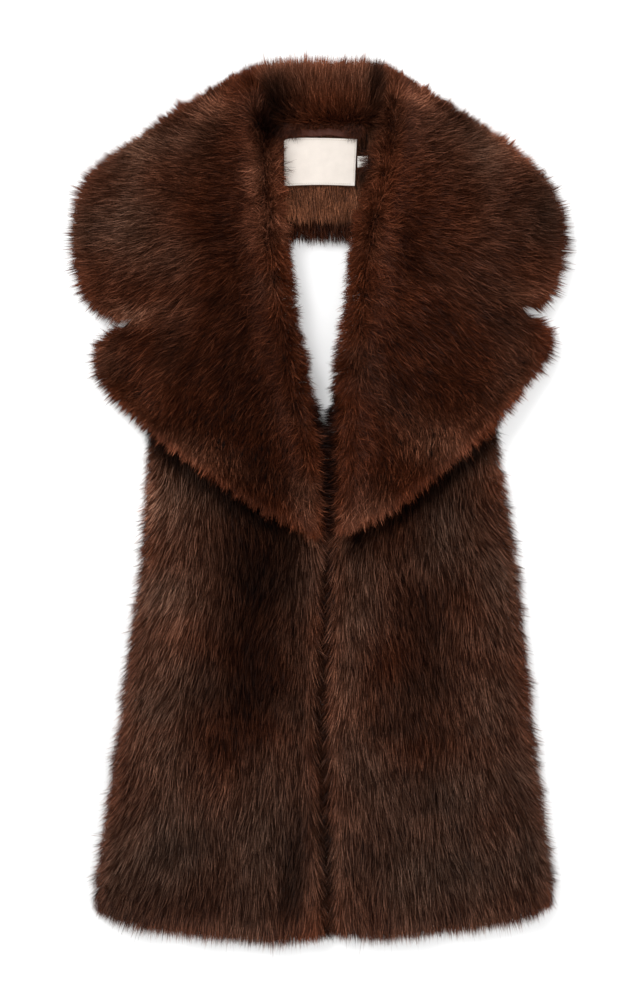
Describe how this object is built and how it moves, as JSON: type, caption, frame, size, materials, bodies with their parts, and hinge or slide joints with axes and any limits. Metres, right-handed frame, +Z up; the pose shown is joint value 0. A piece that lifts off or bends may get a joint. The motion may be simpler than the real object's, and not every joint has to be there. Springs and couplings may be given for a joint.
{
  "type": "fur collar wrap",
  "caption": "Sleeveless brown faux-fur wrap with a wide notched collar and open front, laid flat face up.",
  "frame": {"origin": "on the surface the wrap lies on, under the middle of its length and width", "axes": "+Y toward the neck, +X to the right of someone who looks at the laid-out front, +Z up from the surface"},
  "size_m": [0.4205, 0.7472, 0.0511],
  "materials": {
    "panel_fur": "long faux-fur pile, ash brown with chestnut, soft sheen along the hairs",
    "collar_fur": "long faux-fur pile, chestnut brown with ash outer parts, soft sheen along the hairs",
    "facing_fur": "shorter, lighter brown pile",
    "satin": "narrow woven satin tape",
    "label_cloth": "woven damask label, bare, with a folded and stitched edge",
    "tag_cloth": "small woven tag, bare"
  },
  "bodies": {
    "root": {"front_left": "panel_fur", "front_right": "panel_fur", "back_yoke": "panel_fur", "back_facing": "facing_fur", "hanging_loop": "satin", "label": "label_cloth", "size_tag": "tag_cloth", "collar_back": "collar_fur", "collar_left": "collar_fur", "collar_right": "collar_fur", "lapel_left": "collar_fur", "lapel_right": "collar_fur"}
  },
  "joints": []
}
